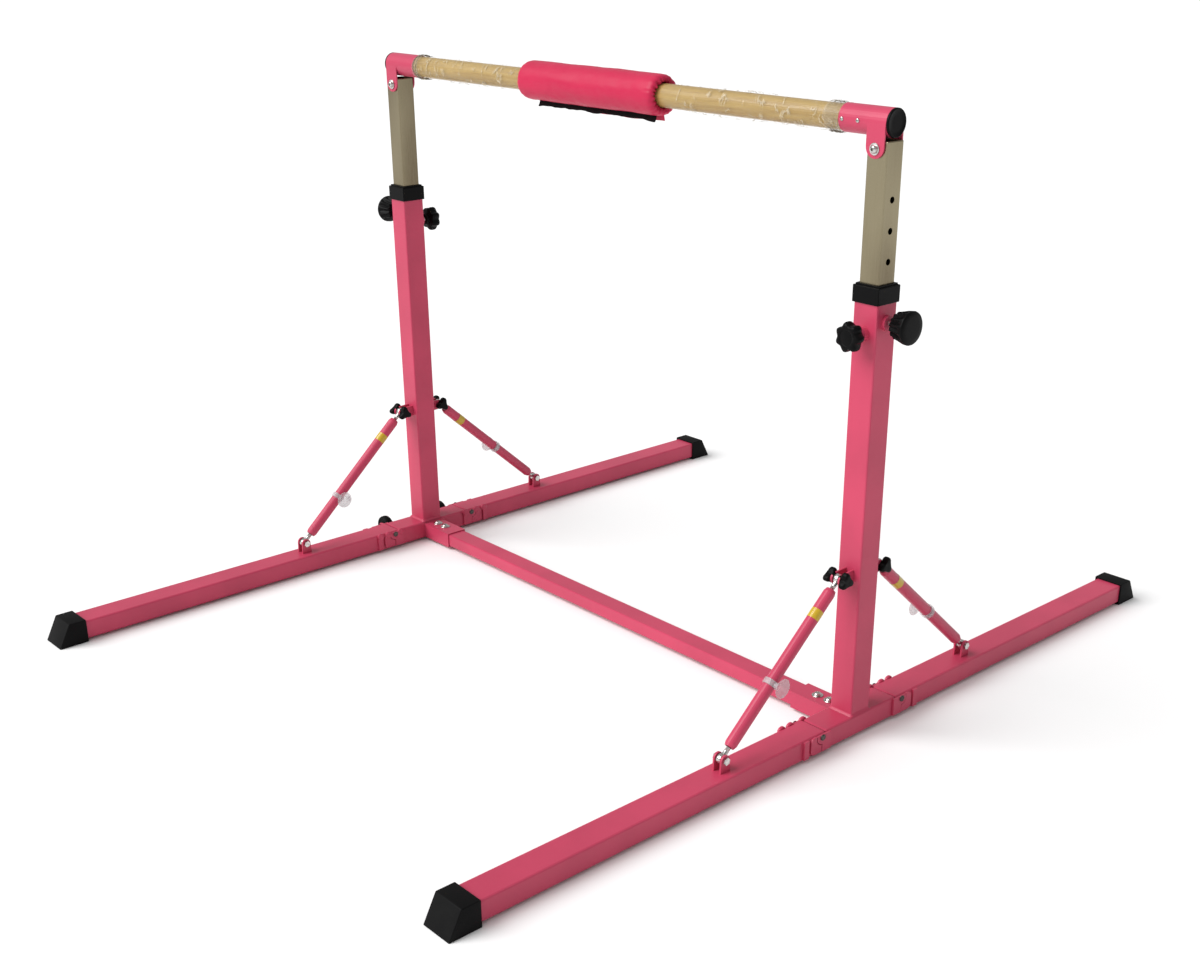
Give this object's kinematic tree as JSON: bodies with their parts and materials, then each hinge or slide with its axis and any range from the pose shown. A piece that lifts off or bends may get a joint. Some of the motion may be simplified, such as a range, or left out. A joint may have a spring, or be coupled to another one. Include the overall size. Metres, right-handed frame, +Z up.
{
  "type": "gymnastics training bar",
  "caption": "Height-adjustable gymnastics training bar: a wooden rail with a slide-on pad, on two telescoping posts with folding braced legs.",
  "frame": {"origin": "on the floor, midway between the two posts, under the rail", "axes": "X along the rail, with the right post at +X; Y along the legs, with the front feet at -Y; Z up"},
  "size_m": [1.345, 1.6714, 1.0042],
  "materials": {
    "pink_paint": "smooth powder coat",
    "bright_steel": "bright plated",
    "polished_steel_tube": "satin stainless",
    "black_plastic": "fine moulded texture",
    "black_rubber": "matt",
    "varnished_wood": "clear varnish",
    "pink_cover_cloth": "smooth coated cloth",
    "black_hook_and_loop": "napped tape"
  },
  "bodies": {
    "frame": {"cross_beam": "pink_paint", "base_right": "pink_paint", "post_right": "pink_paint", "collar_right": "black_plastic", "hinge_pin_right_front": "bright_steel", "hinge_pin_right_back": "bright_steel", "base_left": "pink_paint", "post_left": "pink_paint", "collar_left": "black_plastic", "hinge_pin_left_front": "bright_steel", "hinge_pin_left_back": "bright_steel", "wheel_axle_front": "bright_steel", "wheel_axle_back": "bright_steel"},
    "bar": {"rail": "varnished_wood", "inner_tube_right": "polished_steel_tube", "bar_socket_right": "pink_paint", "end_cap_right": "black_plastic", "pivot_bolt_right": "bright_steel", "inner_tube_left": "polished_steel_tube", "bar_socket_left": "pink_paint", "end_cap_left": "black_plastic", "pivot_bolt_left": "bright_steel"},
    "pad": {"bar_pad": "pink_cover_cloth", "pad_flap": "black_hook_and_loop"},
    "pull_pin_right": {"plunger_right": "bright_steel", "pull_knob_right": "black_plastic"},
    "clamp_knob_right": {"clamp_knob_right": "black_plastic"},
    "leg_right_front": {"leg_right_front": "pink_paint", "foot_right_front": "black_rubber", "leg_bolt_right_front": "bright_steel"},
    "brace_right_front": {"brace_right_front": "pink_paint", "lower_eye_right_front": "bright_steel", "upper_eye_right_front": "bright_steel"},
    "brace_knobs_right_front": {"brace_knobs_right_front": "black_plastic"},
    "leg_right_back": {"leg_right_back": "pink_paint", "foot_right_back": "black_rubber", "leg_bolt_right_back": "bright_steel"},
    "brace_right_back": {"brace_right_back": "pink_paint", "lower_eye_right_back": "bright_steel", "upper_eye_right_back": "bright_steel"},
    "brace_knobs_right_back": {"brace_knobs_right_back": "black_plastic"},
    "pull_pin_left": {"plunger_left": "bright_steel", "pull_knob_left": "black_plastic"},
    "clamp_knob_left": {"clamp_knob_left": "black_plastic"},
    "leg_left_front": {"leg_left_front": "pink_paint", "foot_left_front": "black_rubber", "leg_bolt_left_front": "bright_steel"},
    "brace_left_front": {"brace_left_front": "pink_paint", "lower_eye_left_front": "bright_steel", "upper_eye_left_front": "bright_steel"},
    "brace_knobs_left_front": {"brace_knobs_left_front": "black_plastic"},
    "leg_left_back": {"leg_left_back": "pink_paint", "foot_left_back": "black_rubber", "leg_bolt_left_back": "bright_steel"},
    "brace_left_back": {"brace_left_back": "pink_paint", "lower_eye_left_back": "bright_steel", "upper_eye_left_back": "bright_steel"},
    "brace_knobs_left_back": {"brace_knobs_left_back": "black_plastic"},
    "wheel_front": {"wheel_front": "black_rubber"},
    "wheel_back": {"wheel_back": "black_rubber"}
  },
  "joints": [
    {"name": "bar_height", "type": "slide", "parent": "frame", "child": "bar", "axis": [0, 0, 1], "range_m": [-0.176, 0.352]},
    {"name": "pad_slide", "type": "slide", "parent": "bar", "child": "pad", "axis": [1, 0, 0], "range_m": [-0.31, 0.36]},
    {"name": "pull_pin_right", "type": "slide", "parent": "frame", "child": "pull_pin_right", "axis": [1, 0, 0], "range_m": [0, 0.012], "stiffness_N_per_m": 900, "springref_m": -0.006},
    {"name": "clamp_knob_right_turn", "type": "hinge", "parent": "frame", "child": "clamp_knob_right", "pos_m": [0.6, -0.05, 0.671], "axis": [0, -1, 0], "continuous": true},
    {"name": "leg_fold_right_front", "type": "hinge", "parent": "frame", "child": "leg_right_front", "pos_m": [0.6, -0.0998, 0.0342], "axis": [-1, 0, 0], "range_deg": [0, 90]},
    {"name": "brace_swing_right_front", "type": "hinge", "parent": "leg_right_front", "child": "brace_right_front", "pos_m": [0.6, -0.301, 0.06], "axis": [1, 0, 0], "range_deg": [0, 138.4]},
    {"name": "brace_knobs_right_front_turn", "type": "hinge", "parent": "brace_right_front", "child": "brace_knobs_right_front", "pos_m": [0.6, -0.048, 0.2853], "axis": [1, 0, 0], "continuous": true},
    {"name": "leg_fold_right_back", "type": "hinge", "parent": "frame", "child": "leg_right_back", "pos_m": [0.6, 0.0998, 0.0342], "axis": [1, 0, 0], "range_deg": [0, 90]},
    {"name": "brace_swing_right_back", "type": "hinge", "parent": "leg_right_back", "child": "brace_right_back", "pos_m": [0.6, 0.301, 0.06], "axis": [-1, 0, 0], "range_deg": [0, 138.4]},
    {"name": "brace_knobs_right_back_turn", "type": "hinge", "parent": "brace_right_back", "child": "brace_knobs_right_back", "pos_m": [0.6, 0.048, 0.2853], "axis": [1, 0, 0], "continuous": true},
    {"name": "pull_pin_left", "type": "slide", "parent": "frame", "child": "pull_pin_left", "axis": [-1, 0, 0], "range_m": [0, 0.012], "stiffness_N_per_m": 900, "springref_m": -0.006},
    {"name": "clamp_knob_left_turn", "type": "hinge", "parent": "frame", "child": "clamp_knob_left", "pos_m": [-0.6, 0.05, 0.671], "axis": [0, 1, 0], "continuous": true},
    {"name": "leg_fold_left_front", "type": "hinge", "parent": "frame", "child": "leg_left_front", "pos_m": [-0.6, -0.0998, 0.0342], "axis": [-1, 0, 0], "range_deg": [0, 90]},
    {"name": "brace_swing_left_front", "type": "hinge", "parent": "leg_left_front", "child": "brace_left_front", "pos_m": [-0.6, -0.301, 0.06], "axis": [1, 0, 0], "range_deg": [0, 138.4]},
    {"name": "brace_knobs_left_front_turn", "type": "hinge", "parent": "brace_left_front", "child": "brace_knobs_left_front", "pos_m": [-0.6, -0.048, 0.2853], "axis": [1, 0, 0], "continuous": true},
    {"name": "leg_fold_left_back", "type": "hinge", "parent": "frame", "child": "leg_left_back", "pos_m": [-0.6, 0.0998, 0.0342], "axis": [1, 0, 0], "range_deg": [0, 90]},
    {"name": "brace_swing_left_back", "type": "hinge", "parent": "leg_left_back", "child": "brace_left_back", "pos_m": [-0.6, 0.301, 0.06], "axis": [-1, 0, 0], "range_deg": [0, 138.4]},
    {"name": "brace_knobs_left_back_turn", "type": "hinge", "parent": "brace_left_back", "child": "brace_knobs_left_back", "pos_m": [-0.6, 0.048, 0.2853], "axis": [1, 0, 0], "continuous": true},
    {"name": "wheel_front_spin", "type": "hinge", "parent": "frame", "child": "wheel_front", "pos_m": [-0.652, -0.07025, 0.0225], "axis": [0, 1, 0], "continuous": true},
    {"name": "wheel_back_spin", "type": "hinge", "parent": "frame", "child": "wheel_back", "pos_m": [-0.652, 0.07025, 0.0225], "axis": [0, 1, 0], "continuous": true}
  ],
  "couplings": [
    {"joint": "brace_swing_right_front", "follows": "leg_fold_right_front", "ratio": 1.5368},
    {"joint": "brace_swing_right_back", "follows": "leg_fold_right_back", "ratio": 1.5368},
    {"joint": "brace_swing_left_front", "follows": "leg_fold_left_front", "ratio": 1.5368},
    {"joint": "brace_swing_left_back", "follows": "leg_fold_left_back", "ratio": 1.5368}
  ]
}
